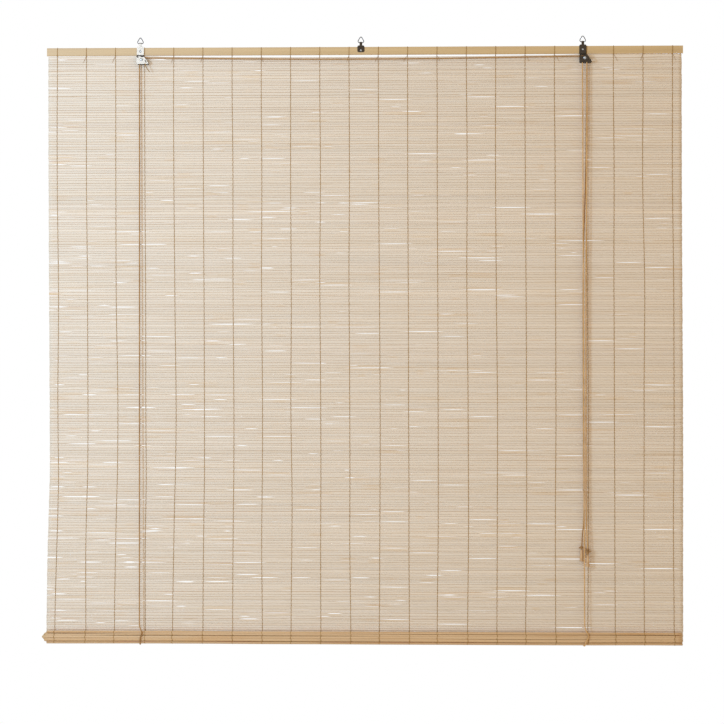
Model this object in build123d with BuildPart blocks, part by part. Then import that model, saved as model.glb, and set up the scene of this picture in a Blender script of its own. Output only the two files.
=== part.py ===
from build123d import *

import math
import os

# A bamboo roll up blind, hung by three wire rings on its head rail and lifted by two cords.
# X runs to the right along the rail, Y runs back to the wall and Z runs up, in millimetres.
# The origin is the point inside the middle ring where it bears on its hook.

os.makedirs("parts", exist_ok=True)

# Wire rings and the folded loops that hold them
ring_wire = 2.2
ring_height = 16.0
ring_side_angle = 60.0
ring_apex_radius = 3.0
ring_corner_radius = 4.0
wire_side_count = 8
ring_turn_chords = 4
loop_clearance = 0.3
loop_wrap_angle = 285.0

# Head rail, and the bottom rail of the same stock
rail_overhang = 3.5
rail_height = 22.0
rail_thickness = 7.0
rail_edge_chamfer = 1.0
rail_shift = 7.5
rail_drop = 12.0
bottom_rail_shift = -14.0
bottom_rail_point = 9.0
hanger_inset = 274.0

# Pressed steel hanger plates
sheet = 1.0
neck_width = 7.6
plate_width = 20.0
plate_corner_radius = 4.0
shoulder_rise = 4.0
hanger_foot_drop = 15.0
sheet_bend_radius = 2.0

# Round head screws that hold the plates to the rail
screw_drop = 10.0
screw_shank_diameter = 3.0
screw_head_diameter = 6.4
screw_crown_diameter = 3.6
screw_head_height = 2.0
screw_grip = 5.5

# Housing under each outer plate, with its wheel between two cheeks
step_drop = 5.0
cheek_height = 21.0
cheek_gap = 11.2
cheek_left_reach = 9.6
cheek_top_reach = 12.0
cheek_foot_reach = 26.0
cheek_corner_radius = 2.0
back_cheek_drop = 2.4
window_left_reach = 6.6
window_right_reach = 2.6
window_rise = 2.0
window_fall = 3.4
wheel_offset = 4.4
wheel_drop = 13.6
wheel_radius = 7.4
wheel_width = 10.4
groove_pitch = 4.8
axle_diameter = 4.0
axle_head_diameter = 8.4
axle_crown_diameter = 5.0
axle_head_height = 1.8
axle_tail_diameter = 6.0
axle_tail_height = 0.8
running_clearance = 0.05
spacer_diameter = 3.0
spacer_inset = 3.2

# Grip roller of the cord lock, in a slanting slot beside the wheel
roller_diameter = 6.0
roller_end_clearance = 0.4
roller_lock_rise = 9.0
roller_travel = 5.0
roller_flute_count = 12
roller_flute_depth = 0.5
trunnion_diameter = 2.4
trunnion_clearance = 0.2

# Lift cords
cord_diameter = 3.2
cord_clearance = 0.3
cord_turn_radius = 6.3
cord_wheel_bend_radius = 6.2
cord_roll_bend_radius = 11.6

# Woven wall of bamboo sticks
mat_width = 1793.0
mat_gap = 3.0
stick_count = 240
stick_pitch = 6.9
stick_thickness = 1.9
web_thickness = 0.9

# Slits where neighbouring sticks bow apart between two threads
slit_count = 120
slit_length = 130.0
slit_height = 2.8
slit_least_share = 0.6
slit_lower_bias = 0.8

# Roll at the foot of the mat, wound flat round the bottom rail
roll_shift = -1.0
roll_rise = 19.8
roll_half_turns = 3
layer_gap = 0.6
roll_seat_clearance = 0.3

# Warp threads
thread_count = 22
thread_margin = 26.0
thread_width = 1.2
thread_thickness = 0.6
thread_turn_chords = 4
thread_back_clearance = 0.25

# Anchors of the cords behind the head rail
staple_wire = 1.4
staple_depth = 3.5
staple_drop = 13.0
anchor_knot_diameter = 8.0
anchor_knot_height = 9.0
knot_side_count = 8
knot_edge_chamfer = 2.0

# Turned wooden tassels, and the knots over them
tassel_length = 32.0
tassel_foot_diameter = 12.0
tassel_top_diameter = 6.4
tassel_waist_diameter = 8.2
tassel_cavity_diameter = 8.6
tassel_cavity_depth = 12.0
tassel_side_count = 12
stop_knot_diameter = 6.8
stop_knot_height = 5.0
stop_knot_edge_chamfer = 1.2
left_pull_knot_diameter = 9.0
left_pull_knot_length = 11.0
right_pull_knot_diameter = 12.0
right_pull_knot_length = 20.0
knot_bore_clearance = 0.1
knot_seat_gap = 0.3

# One overrun for every cut
overrun = 5.0

# Heights and depths that follow from the sizes above
ring_bar_z = ring_wire / 2 - ring_height
loop_radius = ring_wire / 2 + loop_clearance
plate_mid_y = -loop_radius - sheet / 2
rail_front_y = plate_mid_y + sheet / 2
rail_mid_y = rail_front_y + rail_thickness / 2
rail_back_y = rail_front_y + rail_thickness
rail_top_z = ring_bar_z - rail_drop
rail_length = mat_width + 2 * rail_overhang
hanger_spacing = rail_length / 2 - hanger_inset
rail_foot_z = rail_top_z - rail_height
rail_left_x = rail_shift - rail_length / 2
screw_z = rail_top_z - screw_drop
hanger_xs = (-hanger_spacing, 0, hanger_spacing)

plate_front_y = plate_mid_y - sheet / 2
front_cheek_mid_y = plate_front_y - cheek_gap - sheet / 2
wheel_mid_y = plate_front_y - cheek_gap / 2
wheel_z = rail_foot_z - wheel_drop
cheek_top_z = rail_foot_z - step_drop
cheek_foot_z = cheek_top_z - cheek_height
slot_lean = math.atan2(cheek_foot_reach - cheek_top_reach, cheek_height)
lock_x = wheel_offset + cord_turn_radius + cord_diameter / 2 + cord_clearance + roller_diameter / 2
lock_z = cheek_foot_z + roller_lock_rise
roller_x = lock_x + roller_travel * math.sin(slot_lean)
roller_z = lock_z - roller_travel * math.cos(slot_lean)
slot_width = trunnion_diameter + 2 * trunnion_clearance
spacer_x = spacer_inset - cheek_left_reach
spacer_z = cheek_foot_z + spacer_inset

mat_left_x = rail_shift - mat_width / 2
mat_top_z = rail_foot_z - mat_gap
turn_z = mat_top_z - stick_count * stick_pitch
mat_front_y = rail_mid_y - stick_thickness / 2
mat_back_y = rail_mid_y + stick_thickness / 2
thread_pitch = (mat_width - 2 * thread_margin) / (thread_count - 1)

layer_pitch = stick_thickness + layer_gap
core_half_depth = rail_thickness / 2 + roll_seat_clearance
outer_turn_radius = core_half_depth + stick_thickness / 2 + layer_pitch
roll_mid_y = rail_mid_y - outer_turn_radius


def thread_x(index):
    """Where a warp thread runs; one that would pass under a hanger plate steps beside it."""
    x = mat_left_x + thread_margin + index * thread_pitch
    for hanger_x in hanger_xs:
        if abs(x - hanger_x) < plate_width / 2 + thread_width:
            x = hanger_x + plate_width / 2 + thread_width
    return x


def front_plane(x):
    """The upright plane through the rings at x, with its normal to the front."""
    return Plane(origin=(x, 0, 0), x_dir=(1, 0, 0), z_dir=(0, -1, 0))


def front_offset(y):
    """How far in front of the plane of the rings a depth lies."""
    return -y


# Head rail, a flat split bamboo slat with pilot holes for the screws and the staples
staple_z = rail_top_z - staple_drop
staple_reach = cord_diameter / 2 + cord_clearance + staple_wire / 2
anchor_y = rail_back_y + cord_clearance + cord_diameter / 2
left_anchor_x = -hanger_spacing
right_anchor_x = hanger_spacing + cord_diameter / 2
anchor_xs = (left_anchor_x, right_anchor_x)

with BuildPart() as head_rail:
    with BuildSketch(Plane.YZ.offset(rail_left_x)) as rail_section:
        with Locations((rail_mid_y, rail_top_z - rail_height / 2)):
            Rectangle(rail_thickness, rail_height)
        chamfer(rail_section.vertices(), rail_edge_chamfer)
    extrude(amount=rail_length)
    with BuildSketch(front_plane(0).offset(front_offset(rail_front_y))):
        with Locations(*[(x, screw_z) for x in hanger_xs]):
            Circle(screw_shank_diameter / 2)
    extrude(amount=-screw_grip, mode=Mode.SUBTRACT)
    with BuildSketch(front_plane(0).offset(front_offset(rail_back_y))):
        for x in anchor_xs:
            with Locations((x - staple_reach, staple_z), (x + staple_reach, staple_z)):
                Rectangle(staple_wire, staple_wire)
    extrude(amount=staple_depth, mode=Mode.SUBTRACT)
head_rail.part.label = "head_rail"
export_step(head_rail.part, "parts/head_rail.step")

# Bottom rail, the same slat with pointed ends, inside the roll and pushed out at the left
with BuildPart() as bottom_rail:
    with BuildSketch(front_plane(rail_shift + bottom_rail_shift).offset(front_offset(roll_mid_y))):
        with Locations((0, turn_z + roll_rise / 2)):
            shoulder_x = rail_length / 2 - bottom_rail_point
            Polygon(
                (-rail_length / 2, 0),
                (-shoulder_x, -rail_height / 2),
                (shoulder_x, -rail_height / 2),
                (rail_length / 2, 0),
                (shoulder_x, rail_height / 2),
                (-shoulder_x, rail_height / 2),
            )
    extrude(amount=rail_thickness / 2, both=True)
    long_faces = bottom_rail.faces().filter_by(Axis.Y)
    chamfer(long_faces.edges(), rail_edge_chamfer)
bottom_rail.part.label = "bottom_rail"
export_step(bottom_rail.part, "parts/bottom_rail.step")

# Hanging mat, one wall of ridges, slit where sticks bow apart
plastic_number = 1.32471795724


def slit_places():
    """The middle, length and height of each slit, spread evenly over bays and rows."""
    for k in range(slit_count):
        row_share = ((k + 1) / plastic_number) % 1
        bay_share = ((k + 1) / plastic_number**2) % 1
        row = 1 + int(row_share**slit_lower_bias * (stick_count - 2))
        bay = int(bay_share * (thread_count - 1))
        size_share = slit_least_share + (1 - slit_least_share) * ((row_share + bay_share) % 1)
        x = (thread_x(bay) + thread_x(bay + 1)) / 2
        yield x, mat_top_z - row * stick_pitch, slit_length * size_share, slit_height * size_share


def ridge_depth(index):
    """Half the depth of the wall at each half stick: a valley, a crest, a valley and so on."""
    return (web_thickness if index % 2 == 0 else stick_thickness) / 2


with BuildPart() as bamboo_mat:
    with BuildSketch(Plane.YZ.offset(mat_left_x)):
        with BuildLine():
            front_ridges = []
            back_ridges = []
            for i in range(2 * stick_count + 1):
                z = mat_top_z - i * stick_pitch / 2
                front_ridges.append((rail_mid_y - ridge_depth(i), z))
                back_ridges.append((rail_mid_y + ridge_depth(i), z))
            Polyline(*front_ridges, *reversed(back_ridges), close=True)
        make_face()
    extrude(amount=mat_width)
    with BuildSketch(front_plane(0).offset(front_offset(rail_mid_y))):
        for x, z, length, height in slit_places():
            with Locations((x, z)):
                Polygon((-length / 2, 0), (0, -height / 2), (length / 2, 0), (0, height / 2))
    extrude(amount=stick_thickness, both=True, mode=Mode.SUBTRACT)
bamboo_mat.part.label = "bamboo_mat"
export_step(bamboo_mat.part, "parts/bamboo_mat.step")

# Roll, the foot of the mat wound forwards and up round the bottom rail
with BuildLine() as roll_line:
    y = rail_mid_y
    for k in range(roll_half_turns):
        at_foot = k % 2 == 0
        radius = outer_turn_radius - k * layer_pitch / 2
        inward = -radius if at_foot else radius
        arc_z = turn_z if at_foot else turn_z + roll_rise
        rise = roll_rise if at_foot else -roll_rise
        CenterArc((y + inward, arc_z), radius, 0 if at_foot else 180, -180)
        y += 2 * inward
        Line((y, arc_z), (y, arc_z + rise))

roll_wire = roll_line.wires()[0]
roll_stick_count = int(roll_wire.length / stick_pitch)

with BuildPart() as mat_roll:
    with BuildSketch(Plane.YZ.offset(mat_left_x + roll_shift)):
        with BuildLine():
            outer_ridges = []
            inner_ridges = []
            for i in range(2 * roll_stick_count + 1):
                share = i / (2 * roll_stick_count)
                place = roll_wire @ share
                outward = (roll_wire % share).rotate(Axis.Z, 90)
                outer_ridges.append(place + outward * ridge_depth(i))
                inner_ridges.append(place - outward * ridge_depth(i))
            Polyline(*outer_ridges, *reversed(inner_ridges), close=True)
        make_face()
    extrude(amount=mat_width)
mat_roll.part.label = "mat_roll"
export_step(mat_roll.part, "parts/mat_roll.step")

# Warp threads, each over the front of the mat, over the rail and down the back to the roll
front_thread_y = mat_front_y - thread_thickness / 2
back_thread_y = mat_back_y + thread_back_clearance + thread_thickness / 2
roll_top_z = turn_z + roll_rise + outer_turn_radius
outer_thread_radius = back_thread_y - roll_mid_y
upper_turn_radius = outer_turn_radius - layer_pitch / 2
upper_thread_radius = outer_thread_radius - layer_pitch / 2
upper_turn_y = roll_mid_y - outer_turn_radius + upper_turn_radius


def turn_points(center_y, center_z, radius, start_angle, turn_angle, count):
    """Corners of the chords that go round a turn of a thread or a wire, clockwise."""
    chord_angle = math.radians(turn_angle / count)
    corner_radius = radius / math.cos(chord_angle / 2)
    for k in range(count):
        angle = math.radians(start_angle) - (k + 1 / 2) * chord_angle
        yield center_y + corner_radius * math.cos(angle), center_z + corner_radius * math.sin(angle)


upper_turn_z = turn_z + roll_rise
with BuildLine() as thread_line:
    Polyline(
        (front_thread_y, roll_top_z),
        (front_thread_y, mat_top_z),
        (rail_front_y - thread_thickness / 2, rail_foot_z),
        (rail_front_y - thread_thickness / 2, rail_top_z + thread_thickness / 2),
        (rail_back_y + thread_thickness / 2, rail_top_z + thread_thickness / 2),
        (rail_back_y + thread_thickness / 2, rail_foot_z),
        (back_thread_y, mat_top_z),
        *turn_points(roll_mid_y, turn_z, outer_thread_radius, 0, 180, thread_turn_chords),
        *turn_points(upper_turn_y, upper_turn_z, upper_thread_radius, 180, 90, thread_turn_chords // 2),
        (upper_turn_y, upper_turn_z + upper_thread_radius),
    )

with BuildPart() as warp_threads:
    thread_planes = [Plane.YZ.offset(thread_x(i) - thread_width / 2) for i in range(thread_count)]
    with BuildSketch(*thread_planes):
        trace(thread_line.wires()[0], thread_thickness)
    extrude(amount=thread_width)
warp_threads.part.label = "warp_threads"
export_step(warp_threads.part, "parts/warp_threads.step")

# Wire rings, rounded triangles whose lower bar turns in the loop of the plate
ring_peak = ring_height + ring_apex_radius * (1 / math.cos(math.radians(ring_side_angle)) - 1)
ring_half_base = ring_peak / math.tan(math.radians(ring_side_angle))
ring_corner_x = ring_half_base - ring_corner_radius / math.tan(math.radians(ring_side_angle / 2))
ring_corner_z = ring_bar_z + ring_corner_radius
ring_apex_z = ring_bar_z + ring_peak - ring_apex_radius / math.cos(math.radians(ring_side_angle))
ring_turn = 180 - ring_side_angle

for name, x in zip(("left", "middle", "right"), hanger_xs):
    with BuildPart() as ring:
        with BuildLine(front_plane(x)) as ring_path:
            corner = (ring_corner_radius, 270, ring_turn, ring_turn_chords)
            apex = (ring_apex_radius, 270 - ring_turn, 2 * ring_side_angle, ring_turn_chords)
            last_corner = (ring_corner_radius, ring_turn - 90, ring_turn, ring_turn_chords)
            Polyline(
                (0, ring_bar_z),
                *turn_points(-ring_corner_x, ring_corner_z, *corner),
                *turn_points(0, ring_apex_z, *apex),
                *turn_points(ring_corner_x, ring_corner_z, *last_corner),
                close=True,
            )
        with BuildSketch(Plane(origin=ring_path.line @ 0, z_dir=ring_path.line % 0)):
            RegularPolygon(ring_wire / 2, wire_side_count)
        sweep(transition=Transition.RIGHT)
    ring.part.label = f"{name}_hanging_ring"
    export_step(ring.part, f"parts/{name}_hanging_ring.step")


def plate_outline(foot_z):
    """The neck and the shouldered plate of a hanger, as seen from the front."""
    loop_top_z = ring_bar_z + loop_radius + sheet
    shoulder_z = rail_top_z + shoulder_rise
    with Locations((0, (loop_top_z + screw_z) / 2)):
        Rectangle(neck_width, loop_top_z - screw_z)
    with Locations((0, (shoulder_z + foot_z) / 2)):
        RectangleRounded(plate_width, shoulder_z - foot_z, plate_corner_radius)


def loop_arc():
    """The end of the strip, rolled back over the bar of the ring."""
    CenterArc((0, ring_bar_z), loop_radius + sheet / 2, 180, -loop_wrap_angle)


# Middle hanger plate
with BuildPart() as middle_hanger_plate:
    hanger_foot_z = rail_top_z - hanger_foot_drop
    with BuildLine() as hanger_strip:
        loop_arc()
        Line((plate_mid_y, ring_bar_z), (plate_mid_y, hanger_foot_z))
    with BuildSketch(Plane.YZ):
        trace(hanger_strip.wires()[0], sheet)
    extrude(amount=plate_width, both=True)
    with BuildSketch(front_plane(0)):
        plate_outline(hanger_foot_z)
        with Locations((0, screw_z)):
            Circle(screw_shank_diameter / 2, mode=Mode.SUBTRACT)
    extrude(amount=plate_width, both=True, mode=Mode.INTERSECT)
middle_hanger_plate.part.label = "middle_hanger_plate"
export_step(middle_hanger_plate.part, "parts/middle_hanger_plate.step")


def cheek_outline(top_z, foot_z):
    """The flared cheek of a housing, straight at the left and slanting out at the right."""
    foot_reach = cheek_top_reach + (cheek_top_z - foot_z) * math.tan(slot_lean)
    top_reach = cheek_top_reach + min(0, cheek_top_z - top_z) * math.tan(slot_lean)
    Polygon(
        (-cheek_left_reach, top_z),
        (-cheek_left_reach, foot_z),
        (foot_reach, foot_z),
        (top_reach, top_z),
    )


def cheek_holes():
    """Holes for the axle and the spacer, and the slanting slot for the roller."""
    with Locations((wheel_offset, wheel_z)):
        Circle(axle_diameter / 2, mode=Mode.SUBTRACT)
    with Locations((spacer_x, spacer_z)):
        Circle(spacer_diameter / 2, mode=Mode.SUBTRACT)
    with Locations(((lock_x + roller_x) / 2, (lock_z + roller_z) / 2)):
        SlotCenterToCenter(
            roller_travel, slot_width, rotation=math.degrees(slot_lean) - 90, mode=Mode.SUBTRACT
        )


# Outer brackets: a plate that steps forward into a front cheek, and a flat back cheek
for name, x in (("left_pulley", -hanger_spacing), ("cord_lock", hanger_spacing)):
    housing_reach = cheek_foot_reach + overrun
    with BuildPart() as bracket:
        with BuildLine() as bracket_strip:
            loop_arc()
            FilletPolyline(
                (plate_mid_y, ring_bar_z),
                (plate_mid_y, rail_foot_z),
                (front_cheek_mid_y, cheek_top_z),
                (front_cheek_mid_y, cheek_foot_z),
                radius=sheet_bend_radius,
            )
        with BuildSketch(Plane.YZ.offset(x)):
            trace(bracket_strip.wires()[0], sheet)
        extrude(amount=housing_reach, both=True)
        with BuildSketch(front_plane(x)) as bracket_front:
            plate_outline(cheek_top_z)
            cheek_outline(rail_foot_z, cheek_foot_z)
            foot_corners = bracket_front.vertices().group_by(Axis.Y)[0]
            fillet(foot_corners, cheek_corner_radius)
            with Locations((0, screw_z)):
                Circle(screw_shank_diameter / 2, mode=Mode.SUBTRACT)
            cheek_holes()
            window_width = window_left_reach + window_right_reach
            window_height = step_drop - window_rise + window_fall
            window_x = (window_right_reach - window_left_reach) / 2
            window_z = cheek_top_z - window_fall + window_height / 2
            with Locations((window_x, window_z)):
                Rectangle(window_width, window_height, mode=Mode.SUBTRACT)
        extrude(amount=housing_reach, both=True, mode=Mode.INTERSECT)
    bracket.part.label = f"{name}_bracket"
    export_step(bracket.part, f"parts/{name}_bracket.step")

    with BuildPart() as back_cheek:
        with BuildSketch(front_plane(x).offset(front_offset(plate_mid_y))) as cheek_face:
            cheek_outline(rail_foot_z - back_cheek_drop, cheek_foot_z)
            fillet(cheek_face.vertices(), cheek_corner_radius)
            cheek_holes()
        extrude(amount=sheet / 2, both=True)
    back_cheek.part.label = f"{name}_back_cheek"
    export_step(back_cheek.part, f"parts/{name}_back_cheek.step")

    # Grooved wheel, one groove for each cord
    groove_floor_radius = cord_turn_radius - cord_diameter / 2 - cord_clearance
    groove_half_width = cord_diameter / 2 + cord_clearance
    with BuildPart() as wheel:
        with BuildSketch(Plane(origin=(x + wheel_offset, wheel_mid_y, wheel_z))):
            bore_radius = axle_diameter / 2 + running_clearance
            with Locations((bore_radius, 0)):
                Rectangle(wheel_radius - bore_radius, wheel_width, align=(Align.MIN, Align.CENTER))
            with Locations((groove_floor_radius, -groove_pitch / 2), (groove_floor_radius, groove_pitch / 2)):
                Rectangle(
                    wheel_radius - groove_floor_radius,
                    2 * groove_half_width,
                    align=(Align.MIN, Align.CENTER),
                    mode=Mode.SUBTRACT,
                )
        revolve(axis=Axis((x + wheel_offset, wheel_mid_y, wheel_z), (0, 1, 0)))
    wheel.part.label = f"{name}_wheel"
    export_step(wheel.part, f"parts/{name}_wheel.step")

    # Axle, a rivet with a raised head in front
    front_face_y = front_cheek_mid_y - sheet / 2
    back_face_y = plate_mid_y + sheet / 2
    with BuildPart() as axle:
        with BuildSketch(Plane(origin=(x + wheel_offset, 0, wheel_z))):
            with BuildLine():
                Polyline(
                    (0, front_face_y - axle_head_height),
                    (0, back_face_y + axle_tail_height),
                    (axle_tail_diameter / 2, back_face_y + axle_tail_height),
                    (axle_tail_diameter / 2, back_face_y),
                    (axle_diameter / 2, back_face_y),
                    (axle_diameter / 2, front_face_y),
                    (axle_head_diameter / 2, front_face_y),
                    (axle_crown_diameter / 2, front_face_y - axle_head_height),
                    close=True,
                )
            make_face()
        revolve(axis=Axis((x + wheel_offset, 0, wheel_z), (0, 1, 0)))
    axle.part.label = f"{name}_axle"
    export_step(axle.part, f"parts/{name}_axle.step")

    # Spacer rivet that keeps the two cheeks apart, with a shoulder inside each
    with BuildPart() as spacer:
        with BuildSketch(front_plane(x + spacer_x).offset(front_offset(back_face_y))):
            with Locations((0, spacer_z)):
                Circle(spacer_diameter / 2)
        extrude(amount=back_face_y - front_face_y)
    spacer.part.label = f"{name}_spacer"
    export_step(spacer.part, f"parts/{name}_spacer.step")

# Grip roller, fluted between the cheeks, with a trunnion in each slot
roller_length = cheek_gap - 2 * roller_end_clearance
flute_corners = []
for i in range(2 * roller_flute_count):
    angle = math.pi * i / roller_flute_count
    reach = roller_diameter / 2 - (i % 2) * roller_flute_depth
    flute_corners.append((reach * math.cos(angle), reach * math.sin(angle)))

with BuildPart() as lock_roller:
    roller_plane = front_plane(hanger_spacing + roller_x).offset(front_offset(wheel_mid_y))
    with BuildSketch(roller_plane):
        with Locations((0, roller_z)):
            Polygon(*flute_corners, align=None)
    extrude(amount=roller_length / 2, both=True)
    with BuildSketch(roller_plane):
        with Locations((0, roller_z)):
            Circle(trunnion_diameter / 2)
    extrude(amount=cheek_gap / 2 + sheet, both=True)
lock_roller.part.label = "cord_lock_roller"
export_step(lock_roller.part, "parts/cord_lock_roller.step")

# Screws, one through each hanger plate into the rail
with BuildPart() as hanger_screws:
    for x in hanger_xs:
        with BuildSketch(Plane(origin=(x, 0, screw_z))):
            with BuildLine():
                Polyline(
                    (0, plate_front_y - screw_head_height),
                    (0, rail_front_y + screw_grip),
                    (screw_shank_diameter / 2, rail_front_y + screw_grip),
                    (screw_shank_diameter / 2, plate_front_y),
                    (screw_head_diameter / 2, plate_front_y),
                    (screw_crown_diameter / 2, plate_front_y - screw_head_height),
                    close=True,
                )
            make_face()
        revolve(axis=Axis((x, 0, screw_z), (0, 1, 0)))
hanger_screws.part.label = "hanger_screws"
export_step(hanger_screws.part, "parts/hanger_screws.step")

# Staples of flat wire that hold the fixed ends of the cords to the back of the rail
crown_y = anchor_y + cord_diameter / 2 + cord_clearance
leg_foot_y = rail_back_y - staple_depth
with BuildPart() as cord_staples:
    with BuildSketch(Plane.XY.offset(staple_z)):
        for x in anchor_xs:
            with Locations((x, leg_foot_y)):
                Rectangle(
                    2 * staple_reach + staple_wire,
                    crown_y + staple_wire - leg_foot_y,
                    align=(Align.CENTER, Align.MIN),
                )
                Rectangle(
                    2 * staple_reach - staple_wire,
                    crown_y - leg_foot_y,
                    align=(Align.CENTER, Align.MIN),
                    mode=Mode.SUBTRACT,
                )
    extrude(amount=staple_wire / 2, both=True)
cord_staples.part.label = "cord_staples"
export_step(cord_staples.part, "parts/cord_staples.step")

# Knots that stop the fixed ends on their staples
anchor_knot_z = staple_z + staple_wire / 2
with BuildPart() as anchor_knots:
    with BuildSketch(Plane.XY.offset(anchor_knot_z)):
        with Locations(*[(x, anchor_y + (anchor_knot_diameter - cord_diameter) / 2) for x in anchor_xs]):
            RegularPolygon(anchor_knot_diameter / 2, knot_side_count)
    extrude(amount=anchor_knot_height)
    flat_ends = anchor_knots.faces().filter_by(Axis.Z)
    chamfer(flat_ends.edges(), knot_edge_chamfer)
anchor_knots.part.label = "anchor_knots"
export_step(anchor_knots.part, "parts/anchor_knots.step")

# Routes of the two lift cords, from the anchor behind the rail, down the back of the mat,
# under the roll, up the front to the wheel and on to the tassel
left_cord_route = [
    (-626.0, 7.5, -39.2),
    (-626.0, 7.5, -1718.6),
    (-625.5, -15.9, -1718.6),
    (-624.8, -16.2, -1698.0),
    (-618.5, -17.6, -1684.5),
    (-627.0, -14.8, -1668.0),
    (-627.9, -5.6, -56.2),
    (636.7, -5.6, -56.2),
    (636.2, -5.6, -260.0),
    (633.0, -5.8, -420.0),
    (626.0, -6.2, -640.0),
    (624.6, -6.8, -900.0),
    (624.8, -7.2, -1170.0),
    (625.6, -7.4, -1350.0),
    (622.0, -7.5, -1405.0),
    (622.0, -7.5, -1467.0),
]
right_cord_route = [
    (627.6, 7.5, -39.2),
    (627.6, 7.5, -1718.6),
    (630.5, -15.9, -1718.6),
    (634.5, -16.4, -1704.0),
    (642.5, -17.8, -1689.0),
    (630.0, -14.9, -1668.0),
    (624.1, -10.4, -56.2),
    (636.7, -10.4, -56.2),
    (637.0, -10.6, -250.0),
    (635.0, -11.0, -480.0),
    (633.6, -11.4, -760.0),
    (633.2, -11.8, -1090.0),
    (634.6, -12.0, -1350.0),
    (638.6, -12.0, -1405.0),
    (638.6, -12.0, -1482.0),
]
cord_fillet_share = 0.45


def bend_radii(route, fixed):
    """A radius for each inner point: as large as its runs allow, or the fixed one."""
    radii = []
    for i in range(1, len(route) - 1):
        before = Vector(route[i]) - Vector(route[i - 1])
        after = Vector(route[i + 1]) - Vector(route[i])
        half_turn = math.radians(before.get_angle(after)) / 2
        widest = cord_fillet_share * min(before.length, after.length) / math.tan(half_turn)
        radii.append(fixed.get(i, widest))
    return radii


fixed_radii = {
    1: cord_roll_bend_radius,
    2: cord_roll_bend_radius,
    6: cord_wheel_bend_radius,
    7: cord_wheel_bend_radius,
}
for name, route in (("left_lift_cord", left_cord_route), ("right_lift_cord", right_cord_route)):
    radii = bend_radii(route, fixed_radii)
    print(name, "bend radii", [round(r, 1) for r in radii])
    with BuildPart() as cord:
        with BuildLine() as cord_path:
            FilletPolyline(*route, radius=radii)
        with BuildSketch(Plane(origin=cord_path.line @ 0, z_dir=cord_path.line % 0)):
            RegularPolygon(cord_diameter / 2, wire_side_count)
        sweep()
    length = cord_path.wires()[0].length
    section_area = wire_side_count * cord_diameter**2 / 8 * math.sin(2 * math.pi / wire_side_count)
    tube_volume = section_area * length
    print(name, "length", round(length, 1), "volume share", round(cord.part.volume / tube_volume, 5))
    cord.part.label = name
    export_step(cord.part, f"parts/{name}.step")

# Tassels, turned wooden bells on the ends of the pull cords, each held by a stop knot inside
for name, end, knot_diameter, knot_length in (
    ("left", left_cord_route[-1], left_pull_knot_diameter, left_pull_knot_length),
    ("right", right_cord_route[-1], right_pull_knot_diameter, right_pull_knot_length),
):
    end_x, end_y, roof_z = end
    tassel_foot_z = roof_z - tassel_cavity_depth
    tassel_top_z = tassel_foot_z + tassel_length
    hole_radius = cord_diameter / 2 + cord_clearance
    with BuildPart() as tassel:
        for z, diameter in (
            (tassel_foot_z, tassel_foot_diameter),
            ((tassel_foot_z + tassel_top_z) / 2, tassel_waist_diameter),
            (tassel_top_z, tassel_top_diameter),
        ):
            with BuildSketch(Plane.XY.offset(z)):
                with Locations((end_x, end_y)):
                    RegularPolygon(diameter / 2, tassel_side_count)
        loft(ruled=True)
        with BuildSketch(Plane.XY.offset(roof_z)):
            with Locations((end_x, end_y)):
                RegularPolygon(hole_radius, tassel_side_count)
        extrude(amount=tassel_length, mode=Mode.SUBTRACT)
        with BuildSketch(Plane.XY.offset(roof_z)):
            with Locations((end_x, end_y)):
                RegularPolygon(tassel_cavity_diameter / 2, tassel_side_count)
        extrude(amount=-tassel_cavity_depth - overrun, mode=Mode.SUBTRACT)
    tassel.part.label = f"{name}_tassel"
    export_step(tassel.part, f"parts/{name}_tassel.step")

    with BuildPart() as stop_knot:
        with BuildSketch(Plane.XY.offset(roof_z)):
            with Locations((end_x, end_y)):
                RegularPolygon(stop_knot_diameter / 2, knot_side_count)
        extrude(amount=-stop_knot_height)
        chamfer(stop_knot.faces().filter_by(Axis.Z).edges(), stop_knot_edge_chamfer)
    stop_knot.part.label = f"{name}_stop_knot"
    export_step(stop_knot.part, f"parts/{name}_stop_knot.step")

    with BuildPart() as pull_knot:
        with BuildSketch(Plane.XY.offset(tassel_top_z + knot_seat_gap)):
            with Locations((end_x, end_y)):
                RegularPolygon(knot_diameter / 2, knot_side_count)
        extrude(amount=knot_length)
        chamfer(pull_knot.faces().filter_by(Axis.Z).edges(), knot_edge_chamfer)
        with BuildSketch(Plane.XY.offset(tassel_top_z)):
            with Locations((end_x, end_y)):
                bore_reach = cord_diameter / 2 + knot_bore_clearance
                RegularPolygon(bore_reach, knot_side_count, major_radius=False)
        extrude(amount=knot_length + overrun, mode=Mode.SUBTRACT)
    pull_knot.part.label = f"{name}_pull_knot"
    export_step(pull_knot.part, f"parts/{name}_pull_knot.step")
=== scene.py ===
import math
import random

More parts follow.
